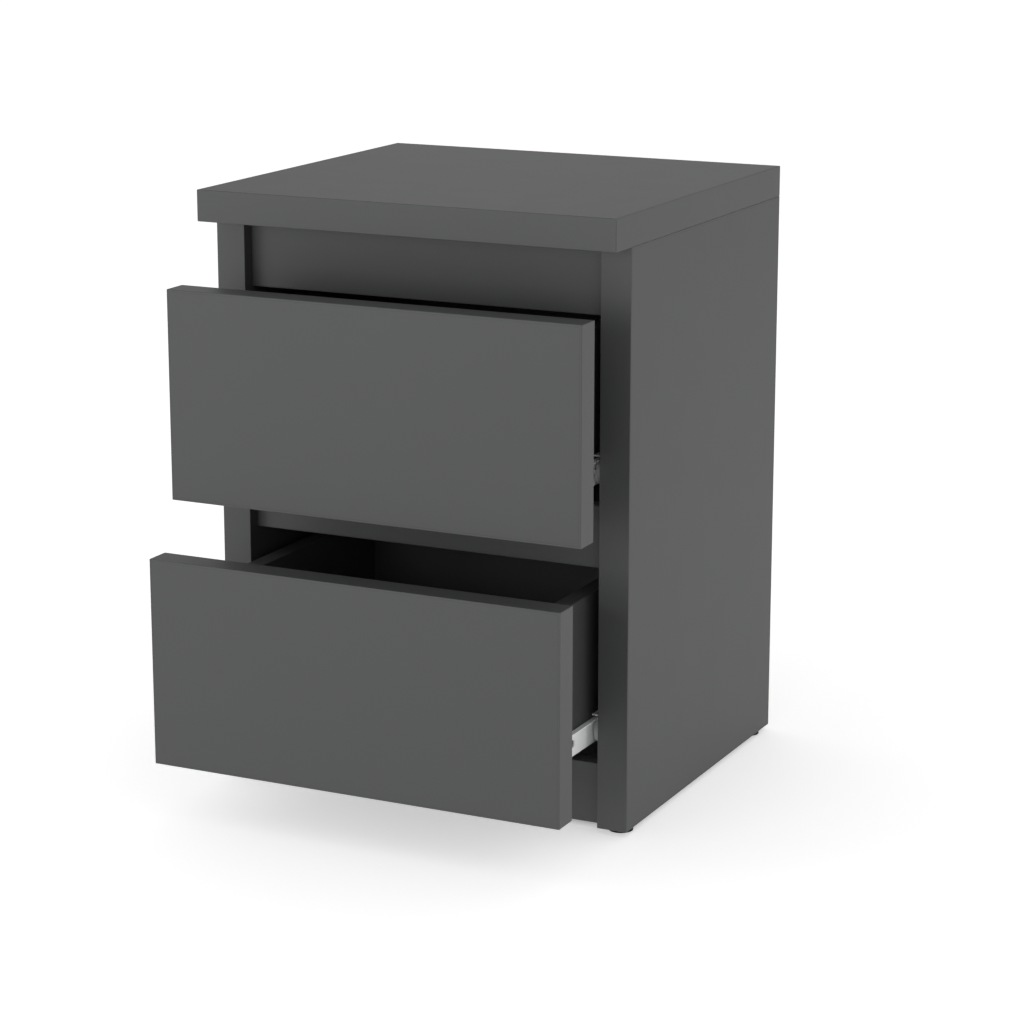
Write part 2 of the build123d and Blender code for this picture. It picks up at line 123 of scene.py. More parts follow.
class BoardSettings(bpy.types.PropertyGroup):
    """The faced chipboard and the hardboard."""

    melamine: colour("Melamine", "Colour of the boards' faces", (0.0545, 0.0562, 0.0558))
    band: colour("Edge band", "Colour of the boards' edges", (0.0555, 0.0572, 0.0568))
    seam: colour("Seam", "Colour of the glue line between an edge band and a face", (0.03, 0.03, 0.03))
    chip_dark: colour("Dark chips", "Darkest flakes of the bare chipboard", (0.17, 0.095, 0.045))
    chip_light: colour("Light chips", "Palest flakes of the bare chipboard", (0.50, 0.34, 0.19))
    lacquer: colour("Lacquer", "Colour of the lacquered hardboard", (0.0545, 0.0562, 0.0558))
    fibre: colour("Fibre", "Colour of the bare hardboard", (0.24, 0.135, 0.068))
    gloss: share("Roughness", "Roughness of the melamine", 0.50)
    sheen: share("Sheen", "How strongly the melamine mirrors its surroundings", 0.35)
    mottle: share("Mottle", "How far the melamine's tone varies", 0.02)
    grain: length("Grain height", "Height of the pearl texture pressed into the melamine", 0.000004)
    facing: length("Facing", "Thickness of the melamine on the chipboard", 0.0003)
    thick_band: length("Thick edge band", "Thickness of the band on the thick boards", 0.002)
    thin_band: length("Thin edge band", "Thickness of the band on the thin boards", 0.0008)
    seam_width: length("Seam width", "Width of the glue line beside an edge band", 0.00018)


class FittingSettings(bpy.types.PropertyGroup):
    """Runners, wheels, fixings and glides."""

    enamel: colour("Enamel", "Colour of the runners", (0.92, 0.93, 0.93))
    nylon: colour("Nylon", "Colour of the wheels", (0.42, 0.43, 0.42))
    steel: colour("Zinc plate", "Colour of screws, bolts, nails and rivets", (0.60, 0.61, 0.63))
    zinc: colour("Cast zinc", "Colour of the cams", (0.46, 0.46, 0.47))
    beech: colour("Beech", "Colour of the dowels", (0.56, 0.38, 0.22))
    plastic: colour("Glide plastic", "Colour of the glides", (0.004, 0.004, 0.004))
    spokes: IntProperty(name="Spokes", description="Ribs on each face of a wheel", default=8, min=3, max=24)
    spoke_width: length("Spoke width", "Thickness of a wheel's ribs", 0.0009)
    screw_pitch: length("Screw pitch", "Rise of a screw's thread in one turn", 0.0016)
    screw_core: length("Screw core", "Radius of a chipboard screw under its thread", 0.0012)
    bolt_pitch: length("Bolt pitch", "Rise of a cam bolt's thread in one turn", 0.0019)
    recess: length("Cross recess", "Width of the arms of a screw head's recess", 0.0009)
    flute: length("Flute depth", "Depth of a dowel's flutes", 0.00035)


class StudioSettings(bpy.types.PropertyGroup):
    """Floor, light and camera."""

    floor: colour("Floor", "Colour of the floor", (0.90, 0.90, 0.90))
    floor_size: length("Floor size", "Side of the square floor", 30.0)
    sky: colour("Sky", "Colour of the light from all round", (1.0, 1.0, 1.0))
    sky_strength: FloatProperty(name="Sky strength", description="Light from all round", default=0.63, min=0)
    glow: FloatProperty(name="Floor glow", description="Light that the floor gives off", default=0.52, min=0)
    front_lamp: lamp_power("Front lamp", "the lamp in front, to the left", 17.1)
    left_lamp: lamp_power("Left lamp", "the lamp at the front left", 15.0)
    back_lamp: lamp_power("Back lamp", "the lamp behind, to the left", 1.8)
    right_lamp: lamp_power("Right lamp", "the lamp at the front right", 4.0)
    high_lamp: lamp_power("High lamp", "the lamp overhead, to the rear", 1.8)
    azimuth: angle("Azimuth", "Where the camera stands, turned to the right of the front", 25.91)
    elevation: angle("Elevation", "How far the camera looks down", 13.95)
    distance: length("Distance", "From the camera to the point it looks at", 2.7025)
    aim_right: length("Aim right", "The point it looks at, to the right of the middle", 0.0389)
    aim_height: length("Aim height", "The point it looks at, above the floor", 0.2509)
    lens: FloatProperty(
        name="Lens", description="Focal length in millimetres", default=105.5, min=1, unit="CAMERA"
    )


class CabinetSettings(bpy.types.PropertyGroup):
    """Everything that the cabinet's operators read."""

    boards: PointerProperty(type=BoardSettings, name="Boards", description="Faced chipboard and hardboard")
    fittings: PointerProperty(type=FittingSettings, name="Fittings", description="Runners and fixings")
    studio: PointerProperty(type=StudioSettings, name="Studio", description="Floor, light and camera")


def settings():
    return bpy.context.scene.bedside_cabinet


# ------------------------------------------------------------------ node trees


class Socket:
    """A node's output. Arithmetic on it adds Math nodes."""

    def __init__(self, graph, output):
        self.graph = graph
        self.output = output

    def math(self, operation, *values):
        return self.graph.add("ShaderNodeMath", dict(enumerate(values)), operation=operation)

    def __add__(self, other):
        return self.math("ADD", self, other)

    def __radd__(self, other):
        return self.math("ADD", other, self)

    def __sub__(self, other):
        return self.math("SUBTRACT", self, other)

    def __rsub__(self, other):
        return self.math("SUBTRACT", other, self)

    def __mul__(self, other):
        return self.math("MULTIPLY", self, other)

    def __rmul__(self, other):
        return self.math("MULTIPLY", other, self)

    def __truediv__(self, other):
        return self.math("DIVIDE", self, other)

    def __rtruediv__(self, other):
        return self.math("DIVIDE", other, self)

    def __abs__(self):
        return self.math("ABSOLUTE", self)

    def floor(self):
        return self.math("FLOOR", self)

    def sine(self):
        return self.math("SINE", self)

    def cosine(self):
        return self.math("COSINE", self)

    def smaller(self, other):
        return self.math("MINIMUM", self, other)

    def larger(self, other):
        return self.math("MAXIMUM", self, other)

    def rise(self, start, end):
        """0 below start and 1 above end, smooth between them."""
        ends = {"Value": self, "From Min": start, "From Max": end}
        return self.graph.add("ShaderNodeMapRange", ends, interpolation_type="SMOOTHSTEP")

    def at(self, key):
        """Another output of the same node."""
        return Socket(self.graph, self.output.node.outputs[key])


class Graph:
    """A node tree that is being built."""

    def __init__(self, tree):
        self.tree = tree

    def add(self, kind, inputs=None, out=0, choices=0, **chosen):
        """Adds a node: its settings first, then the values or links of its sockets, by index or name.
        An index switch starts with two choices and gets as many more as it needs."""
        node = self.tree.nodes.new(kind)
        for name, setting in chosen.items():
            setattr(node, name, setting)
        for _ in range(choices - 2):
            node.index_switch_items.new()
        for key, value in (inputs or {}).items():
            self.feed(node.inputs[key], value)
        return Socket(self, node.outputs[out]) if node.outputs else None

    def feed(self, socket, value):
        if isinstance(value, Socket):
            self.tree.links.new(value.output, socket)
        elif socket.type == "RGBA":
            socket.default_value = (*value, 1)
        else:
            socket.default_value = value

    def mix(self, factor, first, second):
        """A colour between two colours."""
        return self.add("ShaderNodeMix", {0: factor, 6: first, 7: second}, out=2, data_type="RGBA")

    def vector(self, x=0.0, y=0.0, z=0.0):
        return self.add("ShaderNodeCombineXYZ", {0: x, 1: y, 2: z})


class Finish(Graph):
    """A material that is being built, whose patterns read the place on the piece in metres."""

    def __init__(self, name, **uniform):
        self.material = bpy.data.materials.new(name)
        self.material.use_nodes = True
        self.material.node_tree.nodes.clear()
        super().__init__(self.material.node_tree)
        fixed = {socket.replace("_", " "): value for socket, value in uniform.items()}
        shader = self.add("ShaderNodeBsdfPrincipled", fixed)
        self.add("ShaderNodeOutputMaterial", {"Surface": shader})
        self.surface = shader.output.node.inputs
        self.place = self.add("ShaderNodeTexCoord", out="Object")
        split = self.add("ShaderNodeSeparateXYZ", {0: self.place})
        self.along = [split.at(axis) for axis in range(3)]

    def stretched(self, scale):
        """The place, scaled along each axis."""
        return self.add("ShaderNodeMapping", {"Vector": self.place, "Scale": scale})

    def noise(self, scale, detail=2.0, place=None):
        """Soft noise of about 0 to 1, with scale in features per metre."""
        inputs = {"Vector": place or self.place, "Scale": scale, "Detail": detail}
        return self.add("ShaderNodeTexNoise", inputs, out=0)

    def varied(self, tone, amount, factor):
        """A colour whose brightness goes up and down by amount as factor goes from 1 to 0."""
        return self.mix(factor, [c * (1 - amount) for c in tone], [c * (1 + amount) for c in tone])

    def paint(self, tone, roughness, height):
        """Sets what changes over the surface. Height is in metres."""
        self.feed(self.surface["Base Color"], tone)
        self.feed(self.surface["Roughness"], roughness)
        bump = self.add("ShaderNodeBump", {"Strength": 1.0, "Distance": 1.0, "Height": height})
        self.feed(self.surface["Normal"], bump)
        return self.material


def wear(node, material):
    """Gives a CAD node its finish."""
    slots = frame["nodes"][node].data.materials
    slots.clear()
    slots.append(material)


# ------------------------------------------------------------------ finishes


def sheet_box(node):
    """A board's low and high corners, and the axis across its thickness."""
    low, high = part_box(node)
    size = high - low
    return low, high, min(range(3), key=lambda axis: size[axis])


def board_finish(node):
    """Melamine-faced chipboard: faces, edge bands with their seams, and chips wherever the board is cut."""
    look = settings().boards
    low, high, thin = sheet_box(node)
    band = look.thick_band if high[thin] - low[thin] > THICK_BOARD else look.thin_band
    paper = Finish(f"board_{node}", Specular_IOR_Level=look.sheen)
    depth = [
        (place - low[axis]).smaller(high[axis] - place) for axis, place in enumerate(paper.along)
    ]
    across = depth[(thin + 1) % 3].smaller(depth[(thin + 2) % 3])
    inside = across.smaller(depth[thin])

    cut = inside.rise(0.8 * look.facing, 1.1 * look.facing)
    for axis, end in BARE_EDGES[node]:
        away = high[axis] - paper.along[axis] if end else paper.along[axis] - low[axis]
        bare = (1 - away.rise(0.1 * MM, 0.2 * MM)) * depth[thin].rise(0.8 * look.facing, 1.1 * look.facing)
        cut = cut.larger(bare)
    on_band = (1 - across.rise(0.05 * MM, 0.15 * MM)) * (1 - cut)
    seam = 1 - abs(across - band).rise(0.3 * look.seam_width, 0.7 * look.seam_width)
    seam = seam * (1 - depth[thin].rise(0.05 * MM, 0.1 * MM)) * (1 - cut)
    # Painted highlight: a thin strip along the boards' edges, where the faces meet
    painted_edge_highlight = (1 - across.larger(depth[thin]).rise(0.2 * MM, 0.7 * MM)) * (1 - cut)

    cloud = paper.noise(9.0, 3.0)
    pearl = paper.noise(1300.0, 2.0)
    smudge = paper.noise(28.0, 4.0)
    faced = paper.varied(look.melamine, look.mottle, cloud)
    faced = paper.mix(on_band, faced, paper.varied(look.band, look.mottle, cloud))
    faced = paper.mix((pearl - 0.42) * 0.6, faced, [1.3 * c for c in look.melamine])
    # Lightens the melamine along the edges: the painted highlight
    faced = paper.mix(painted_edge_highlight * 0.25, faced, [1.5 * c for c in look.melamine])
    faced = paper.mix(seam * 0.7, faced, look.seam)

    flat = [1.0, 1.0, 1.0]
    flat[thin] = 2.6
    flakes = {"Vector": paper.stretched(flat), "Scale": 420.0, "Randomness": 1.0}
    flake = paper.add("ShaderNodeTexVoronoi", flakes, out="Color")
    tone = paper.add("ShaderNodeSeparateXYZ", {0: flake})
    void = flake.at("Distance").rise(0.45, 0.95)
    chips = paper.mix(tone * 0.8 + 0.2 * paper.noise(90.0), look.chip_dark, look.chip_light)
    # Painted shade in the gaps between the flakes: they are darkened towards the dark chip colour
    chips = paper.mix(void * 0.6, chips, [0.3 * c for c in look.chip_dark])

    roughness = look.gloss + (smudge - 0.5) * 0.03 + (pearl - 0.5) * 0.04 - on_band * 0.03 + seam * 0.2
    rough = roughness + cut * (0.9 - look.gloss)
    height = pearl * look.grain * (1 - cut) - seam * 0.03 * MM + cut * (tone - void) * 0.12 * MM
    return paper.paint(paper.mix(cut, faced, chips), rough, height)


def hardboard_finish(node):
    """Thin hardboard: lacquered faces with a faint fibre, and brown fibre wherever it is cut."""
    look = settings().boards
    low, high, thin = sheet_box(node)
    sheet = Finish(f"hardboard_{node}", Specular_IOR_Level=0.4)
    depth = (sheet.along[thin] - low[thin]).smaller(high[thin] - sheet.along[thin])
    bare = depth.rise(0.1 * MM, 0.2 * MM)
    cloud = sheet.noise(14.0, 4.0)
    hair = sheet.noise(900.0, 3.0, sheet.stretched((1.0, 3.0, 1.0)))
    lacquer = sheet.varied(look.lacquer, 0.10, cloud * 0.6 + hair * 0.4)
    fibre = sheet.varied(look.fibre, 0.35, cloud * 0.3 + hair * 0.7)
    rough = 0.50 + (cloud - 0.5) * 0.1 + bare * 0.36
    return sheet.paint(sheet.mix(bare, lacquer, fibre), rough, hair * (0.02 + bare * 0.05) * MM)


def enamel_finish():
    """White stoving enamel on bent sheet, with a slight orange peel and dull rubbed patches."""
    look = settings().fittings
    coat = Finish("runner_enamel", Specular_IOR_Level=0.5)
    peel = coat.noise(420.0, 1.0)
    cloud = coat.noise(30.0, 4.0)
    tone = coat.varied(look.enamel, 0.03, cloud)
    tone = coat.mix(cloud.rise(0.62, 0.75) * 0.08, tone, (0.70, 0.70, 0.68))
    return coat.paint(tone, 0.30 + (cloud - 0.5) * 0.16, peel * 0.02 * MM)


def metal_finish(name, tone, roughness, pit):
    """Bare or plated metal with cloudy patches. Pit is the depth of its surface grain in metres."""
    metal = Finish(name, Metallic=1.0)
    cloud = metal.noise(160.0, 4.0)
    grain = metal.noise(1500.0, 3.0)
    patches = metal.varied(tone, 0.16, cloud * 0.7 + grain * 0.3)
    return metal.paint(patches, roughness + (cloud - 0.5) * 0.2, grain * pit)


def plastic_finish(name, tone, roughness, sheen, spark):
    """Moulded plastic. Spark is the depth of the grain that the mould leaves, in metres."""
    moulded = Finish(name, Specular_IOR_Level=sheen)
    cloud = moulded.noise(120.0, 3.0)
    grain = moulded.noise(1800.0, 2.0)
    return moulded.paint(
        moulded.varied(tone, 0.05, cloud), roughness + (cloud - 0.5) * 0.12, grain * spark
    )


def beech_finish():
    """Turned beech, with short dark rays along the dowel's own length."""
    wood = Finish("dowel_beech", Specular_IOR_Level=0.4)
    own = wood.add("ShaderNodeAttribute", out="Vector", attribute_name="own_place")
    slender = wood.add("ShaderNodeMapping", {"Vector": own, "Scale": (1.0, 1.0, 0.12)})
    grain = wood.noise(900.0, 4.0, slender)
    rays = wood.noise(2600.0, 1.0, slender).rise(0.58, 0.72)
    beech = settings().fittings.beech
    tone = wood.mix(rays * 0.5, wood.varied(beech, 0.18, grain), [0.5 * c for c in beech])
    return wood.paint(tone, 0.62 + (grain - 0.5) * 0.2, grain * 0.04 * MM)


# ------------------------------------------------------------------ shapes that repeat


class Shape(Graph):
    """A Geometry Nodes tree that is being built, with its named sizes in metres."""

    def __init__(self, name, **sizes):
        super().__init__(bpy.data.node_groups.new(name, "GeometryNodeTree"))
        face = self.tree.interface
        face.new_socket("Stations", in_out="INPUT", socket_type="NodeSocketGeometry")
        for size in sizes:
            kind = "NodeSocketInt" if isinstance(sizes[size], int) else "NodeSocketFloat"
            face.new_socket(size, in_out="INPUT", socket_type=kind).default_value = sizes[size]
        face.new_socket("Finish", in_out="INPUT", socket_type="NodeSocketMaterial")
        face.new_socket("Piece", in_out="OUTPUT", socket_type="NodeSocketGeometry")
        self.given = self.add("NodeGroupInput")

    def size(self, name):
        return self.given.at(name)

    def turned(self, outline, segments=24):
        """The surface that an outline of (radius, height) pairs sweeps about Z. It goes round the
        section so that the solid is on its left: up the outside, and down the inside or the axis."""
        count = len(outline)
        grid = self.add("GeometryNodeMeshGrid", {"Vertices X": segments + 1, "Vertices Y": count})
        index = self.add("GeometryNodeInputIndex")
        column = ((index + 0.5) / count).floor()
        row = index - column * count
        corners = {i + 1: self.vector(x=radius, z=height) for i, (radius, height) in enumerate(outline)}
        corner = self.add(
            "GeometryNodeIndexSwitch", {0: row, **corners}, choices=count, data_type="VECTOR"
        )
        split = self.add("ShaderNodeSeparateXYZ", {0: corner})
        turn = column * (2 * math.pi / segments)
        place = self.vector(split * turn.cosine(), split * turn.sine(), split.at(2))
        swept = self.add("GeometryNodeSetPosition", {"Geometry": grid, "Position": place})
        return self.add("GeometryNodeMergeByDistance", {"Geometry": swept, "Distance": 0.002 * MM})

    def joined(self, *parts):
        """Several parts as one geometry."""
        join = self.add("GeometryNodeJoinGeometry")
        for part in parts:
            self.tree.links.new(part.output, join.output.node.inputs[0])
        return join

    def thread(self, start, end, radius, pitch, ridge):
        """A ridge that winds up a shank of that radius, from one height to another."""
        spiral = self.add(
            "GeometryNodeCurveSpiral",
            {0: THREAD_STEPS, 1: (end - start) / pitch, 2: radius, 3: radius, 4: end - start},
        )
        section = self.add("GeometryNodeCurvePrimitiveCircle", {"Resolution": 3, "Radius": ridge})
        wound = self.add("GeometryNodeCurveToMesh", {0: spiral, 1: section, "Fill Caps": True})
        return self.add("GeometryNodeTransform", {0: wound, "Translation": self.vector(z=start)})

    def block(self, size, centre, turn=0.0):
        """A block about a centre, turned about Z."""
        cube = self.add("GeometryNodeMeshCube", {0: size})
        spin = self.add("FunctionNodeEulerToRotation", {0: (0.0, 0.0, turn)})
        return self.add("GeometryNodeTransform", {0: cube, "Translation": centre, "Rotation": spin})

    def less(self, body, *cutters):
        """A body with other closed shapes cut out of it."""
        taken = {0: body, 1: self.joined(*cutters)}
        return self.add("GeometryNodeMeshBoolean", taken, operation="DIFFERENCE", solver="EXACT")

    def finish(self, shape, twist=0.0):
        """Puts the shape at every station, with its Z along the station's heading, as plain faces."""
        place = self.add("GeometryNodeInputPosition")
        stored = self.add(
            "GeometryNodeStoreNamedAttribute",
            {"Geometry": shape, "Name": "own_place", "Value": place},
            data_type="FLOAT_VECTOR",
        )
        smooth = self.add("GeometryNodeSetShadeSmooth", {0: stored, "Shade Smooth": True}, domain="FACE")
        bend = self.add("GeometryNodeInputMeshEdgeAngle")
        sharp = self.add(
            "FunctionNodeCompare", {0: bend, 1: SHARP_EDGE}, operation="GREATER_THAN"
        )
        edged = self.add(
            "GeometryNodeSetShadeSmooth",
            {0: smooth, "Selection": sharp, "Shade Smooth": False},
            domain="EDGE",
        )
        heading = self.add(
            "GeometryNodeInputNamedAttribute", {0: "heading"}, data_type="FLOAT_VECTOR"
        )
        aligned = self.add("FunctionNodeAlignRotationToVector", {"Vector": heading}, axis="Z")
        random = self.add(
            "FunctionNodeRandomValue", {2: 0.0, 3: twist, "Seed": 7}, out=1, data_type="FLOAT"
        )
        own_turn = self.add("FunctionNodeAxisAngleToRotation", {0: (0.0, 0.0, 1.0), 1: random})
        rotation = self.add(
            "FunctionNodeRotateRotation", {0: aligned, 1: own_turn}, rotation_space="LOCAL"
        )
        placed = self.add(
            "GeometryNodeInstanceOnPoints",
            {"Points": self.size("Stations"), "Instance": edged, "Rotation": rotation},
        )
        real = self.add("GeometryNodeRealizeInstances", {0: placed})
        painted = self.add("GeometryNodeSetMaterial", {0: real, "Material": self.size("Finish")})
        self.add("NodeGroupOutput", {0: painted})
        return self.tree


def screw_shape():
    """A countersunk chipboard screw with a cross recess, from its head's top up along Z to its tip."""
    shape = Shape(
        "chipboard_screw", Length=0.016, Head=0.0035, Shank=0.00175, Core=0.0012, Pitch=0.0016, Recess=0.0009
    )
    length, head, shank, core = (shape.size(name) for name in ("Length", "Head", "Shank", "Core"))
    rim = 0.25 * MM
    neck = head - core + rim
    tip = length - 2 * shank
    body = shape.turned(
        [
            (0.0, length),
            (core * 0.4, length - 0.5 * MM),
            (core, tip),
            (core, neck),
            (head, rim),
            (head - 0.12 * MM, 0.0),
            (0.0, 0.0),
        ]
    )
    width, deep = shape.size("Recess"), head * 0.5
    cross = [
        shape.block(shape.vector(head * 1.15, width, deep * 2), (0.0, 0.0, 0.0), turn)
        for turn in (0.0, math.pi / 2)
    ]
    ridge = (shank - core) * 0.95
    wound = shape.thread(neck + 0.6 * MM, tip, core, shape.size("Pitch"), ridge)
    return shape.finish(shape.joined(shape.less(body, *cross), wound), twist=2 * math.pi)


def bolt_shape():
    """A cam bolt, from its ball head up along Z to the end of its thread."""
    shape = Shape("cam_bolt", Length=0.044, Head=0.0032, Thread=0.003, Thread_length=0.011, Pitch=0.0019)
    length, head, thread = (shape.size(name) for name in ("Length", "Head", "Thread"))
    collar = length - shape.size("Thread_length")
    core = thread * 0.72
    body = shape.turned(
        [
            (0.0, length),
            (core * 0.6, length),
            (core, length - 0.8 * MM),
            (core, collar + 0.2 * MM),
            (thread, collar),
            (thread, collar - 1.4 * MM),
            (thread * 0.84, collar - 1.8 * MM),
            (thread * 0.84, 11.6 * MM),
            (thread * 0.6, 10.9 * MM),
            (thread * 0.6, 4.4 * MM),
            (head * 0.94, 3.6 * MM),
            (head, 2.6 * MM),
            (head, 1.4 * MM),
            (head * 0.86, 0.5 * MM),
            (head * 0.55, 0.0),
            (0.0, 0.0),
        ]
    )
    wound = shape.thread(collar + 0.9 * MM, length - 1.1 * MM, core, shape.size("Pitch"), thread * 0.26)
    return shape.finish(shape.joined(body, wound))


def nail_shape():
    """A flat-headed nail with gripping rings under its head, from its head's top up along Z to its point."""
    shape = Shape("ringed_nail", Length=0.0166, Head=0.0022, Shank=0.0008)
    length, head, shank = (shape.size(name) for name in ("Length", "Head", "Shank"))
    thick = head * 0.22
    rings = [
        (shank * part, thick + (1.0 + 0.5 * turn + lift) * MM)
        for turn in range(6, -1, -1)
        for part, lift in ((0.8, 0.35), (1.0, 0.2), (0.8, 0.05))
    ]
    body = shape.turned(
        [
            (0.0, length),
            (shank, length - 2.4 * MM),
            (shank, thick + 5 * MM),
            *rings,
            (shank, thick),
            (head * 0.92, thick),
            (head, thick * 0.7),
            (head, thick * 0.3),
            (head * 0.85, 0.0),
            (0.0, 0.0),
        ],
        segments=16,
    )
    return shape.finish(body)


def dowel_shape():
    """A beech dowel with straight flutes and bevelled ends, from one end up along Z to the other."""
    shape = Shape("fluted_dowel", Length=0.030, Radius=0.004, Flute=0.00035, Bevel=0.001)
    length, radius, bevel = (shape.size(name) for name in ("Length", "Radius", "Bevel"))
    plain = shape.turned(
        [
            (0.0, length),
            (radius - bevel, length),
            (radius, length - bevel),
            (radius, bevel),
            (radius - bevel, 0.0),
            (0.0, 0.0),
        ],
        segments=4 * FLUTES,
    )
    place = shape.add("GeometryNodeInputPosition")
    split = shape.add("ShaderNodeSeparateXYZ", {0: place})
    round_turn = split.math("ARCTAN2", split.at(1), split)
    wave = (round_turn * FLUTES).cosine()
    fluted = 1 - wave.larger(0.0) * shape.size("Flute") / radius
    moved = shape.vector(split * fluted, split.at(1) * fluted, split.at(2))
    return shape.finish(shape.add("GeometryNodeSetPosition", {"Geometry": plain, "Position": moved}))


def wheel_shape():
    """A moulded roller: a crowned tread, a dished web with ribs on both faces, and a hub."""
    shape = Shape("ribbed_wheel", Radius=0.011, Width=0.009, Bore=0.00256, Hub=0.0044, Rib=0.0009, Ribs=8)
    radius, width, bore, hub = (shape.size(name) for name in ("Radius", "Width", "Bore", "Hub"))
    dish = width * 0.26
    rim, boss = radius - 1.9 * MM, hub + 1.1 * MM
    half = [
        (bore, 1.3 * MM),
        (hub, 1.3 * MM),
        (hub, 0.6 * MM),
        (boss, 0.6 * MM),
        (boss + 0.15 * MM, dish),
        (rim - 0.3 * MM, dish),
        (rim, 0.2 * MM),
        (rim + 0.3 * MM, 0.0),
        (radius - 0.6 * MM, 0.0),
        (radius - 0.15 * MM, 0.25 * MM),
        (radius, 1.2 * MM),
    ]
    other = [(across, width - up) for across, up in reversed(half)]
    body = shape.turned([*half, *other, half[0]], segments=48)
    reach = rim - boss + 0.4 * MM
    middle = (rim + boss) * 0.5
    ribs = []
    for face in (dish * 0.5 + 0.3 * MM, width - dish * 0.5 - 0.3 * MM):
        size = shape.vector(reach, shape.size("Rib"), dish - 0.5 * MM)
        rib = shape.block(size, shape.vector(middle, 0.0, face))
        spots = shape.add("GeometryNodeMeshCircle", {"Vertices": shape.size("Ribs"), "Radius": 0.01 * MM})
        index = shape.add("GeometryNodeInputIndex")
        turn = shape.vector(z=index * (2 * math.pi) / shape.size("Ribs"))
        spin = shape.add("FunctionNodeEulerToRotation", {0: turn})
        ribs.append(
            shape.add(
                "GeometryNodeInstanceOnPoints", {"Points": spots, "Instance": rib, "Rotation": spin}
            )
        )
    spokes = shape.add("GeometryNodeRealizeInstances", {0: shape.joined(*ribs)})
    return shape.finish(shape.joined(body, spokes))


def solids_of(node):
    """The corner points of each separate solid of a CAD node, read from a merged copy of its mesh."""
    merged = bmesh.new()
    merged.from_mesh(frame["nodes"][node].data)
    bmesh.ops.remove_doubles(merged, verts=merged.verts, dist=0.001 * MM)
    left = set(merged.verts)
    solids = []
    while left:
        found, front = set(), [left.pop()]
        while front:
            vertex = front.pop()
            found.add(vertex)
            for edge in vertex.link_edges:
                other = edge.other_vert(vertex)
                if other in left:
                    left.discard(other)
                    front.append(other)
        solids.append([vertex.co.copy() for vertex in found])
    merged.free()
    return solids


def station(points, axis=None):
    """Where a straight fixing starts, its heading, its length and its greatest radius. It starts at
    its wider end."""
    low = Vector([min(p[i] for p in points) for i in range(3)])
    high = Vector([max(p[i] for p in points) for i in range(3)])
    size = high - low
    axis = max(range(3), key=lambda i: size[i]) if axis is None else axis
    middle = (low + high) / 2
    width = {}
    for end in (low[axis], high[axis]):
        close = [p for p in points if abs(p[axis] - end) < END_ZONE]
        width[end] = max(math.hypot(*(p[i] - middle[i] for i in range(3) if i != axis)) for p in close)
    start = max(width, key=width.get)
    origin = middle.copy()
    origin[axis] = start
    heading = Vector((0, 0, 0))
    heading[axis] = math.copysign(1, middle[axis] - start)
    across = max(size[i] for i in range(3) if i != axis)
    return origin, heading, size[axis], across / 2


def place_shape(name, node, tree, finish, sizes, axis=None):
    """Runs a tree at the stations of a CAD node's solids, and keeps the result as a plain mesh there."""
    stations = [station(points, axis) for points in solids_of(node)]
    stations.sort(key=lambda found: tuple(round(c, 5) for c in found[0]))
    points = bpy.data.meshes.new(name)
    points.from_pydata([found[0] for found in stations], [], [])
    heading = points.attributes.new("heading", "FLOAT_VECTOR", "POINT")
    heading.data.foreach_set("vector", [c for found in stations for c in found[1]])
    piece = bpy.data.objects.new(name, points)
    bpy.context.scene.collection.objects.link(piece)
    modifier = piece.modifiers.new("Shape", "NODES")
    modifier.node_group = tree
    given = {"Finish": finish, **sizes(stations[0][2], stations[0][3])}
    for socket in tree.interface.items_tree:
        if socket.in_out == "INPUT" and socket.name in given:
            modifier[socket.identifier] = given[socket.name]
    shown = piece.evaluated_get(bpy.context.evaluated_depsgraph_get())
    made = bpy.data.meshes.new_from_object(shown)
    if not made.polygons:
        raise RuntimeError(f"{name} came out empty")
    piece.modifiers.remove(modifier)
    piece.data = made
    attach(piece, BODY_OF[node])
    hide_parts(node)
    return piece


# ------------------------------------------------------------------ operators


class CabinetOperator:
    """What the cabinet's operators share."""

    bl_options = {"REGISTER", "UNDO"}


class BEDSIDE_OT_boards(CabinetOperator, bpy.types.Operator):
    """Face the chipboard parts: top, sides, rails, drawer fronts and drawer boxes"""

    bl_idname = "bedside.boards"
    bl_label = "Face the boards"

    def execute(self, context):
        for node in BARE_EDGES:
            wear(node, board_finish(node))
        return {"FINISHED"}


class BEDSIDE_OT_hardboard(CabinetOperator, bpy.types.Operator):
    """Lacquer the cabinet's back panel and the drawer floors"""

    bl_idname = "bedside.hardboard"
    bl_label = "Lacquer the hardboard"

    def execute(self, context):
        for node in SHEETS:
            wear(node, hardboard_finish(node))
        return {"FINISHED"}


class BEDSIDE_OT_runners(CabinetOperator, bpy.types.Operator):
    """Enamel the runners' profiles"""

    bl_idname = "bedside.runners"
    bl_label = "Enamel the runners"

    def execute(self, context):
        enamel = enamel_finish()
        for level in LEVELS:
            for side in SIDES:
                wear(f"{level}_{side}_cabinet_profile", enamel)
                wear(f"{level}_{side}_drawer_profile", enamel)
        return {"FINISHED"}


class BEDSIDE_OT_metalwork(CabinetOperator, bpy.types.Operator):
    """Finish the cast cams and the wheels' rivets"""

    bl_idname = "bedside.metalwork"
    bl_label = "Finish cams and rivets"

    def execute(self, context):
        look = settings().fittings
        cast = metal_finish("cast_zinc", look.zinc, 0.48, 0.05 * MM)
        plated = metal_finish("rivet_steel", look.steel, 0.30, 0.004 * MM)
        for node in ("cabinet_cams", *(f"{level}_box_cams" for level in LEVELS)):
            wear(node, cast)
        for node in ("front_axles", *(f"{level}_rear_axles" for level in LEVELS)):
            wear(node, plated)
        return {"FINISHED"}


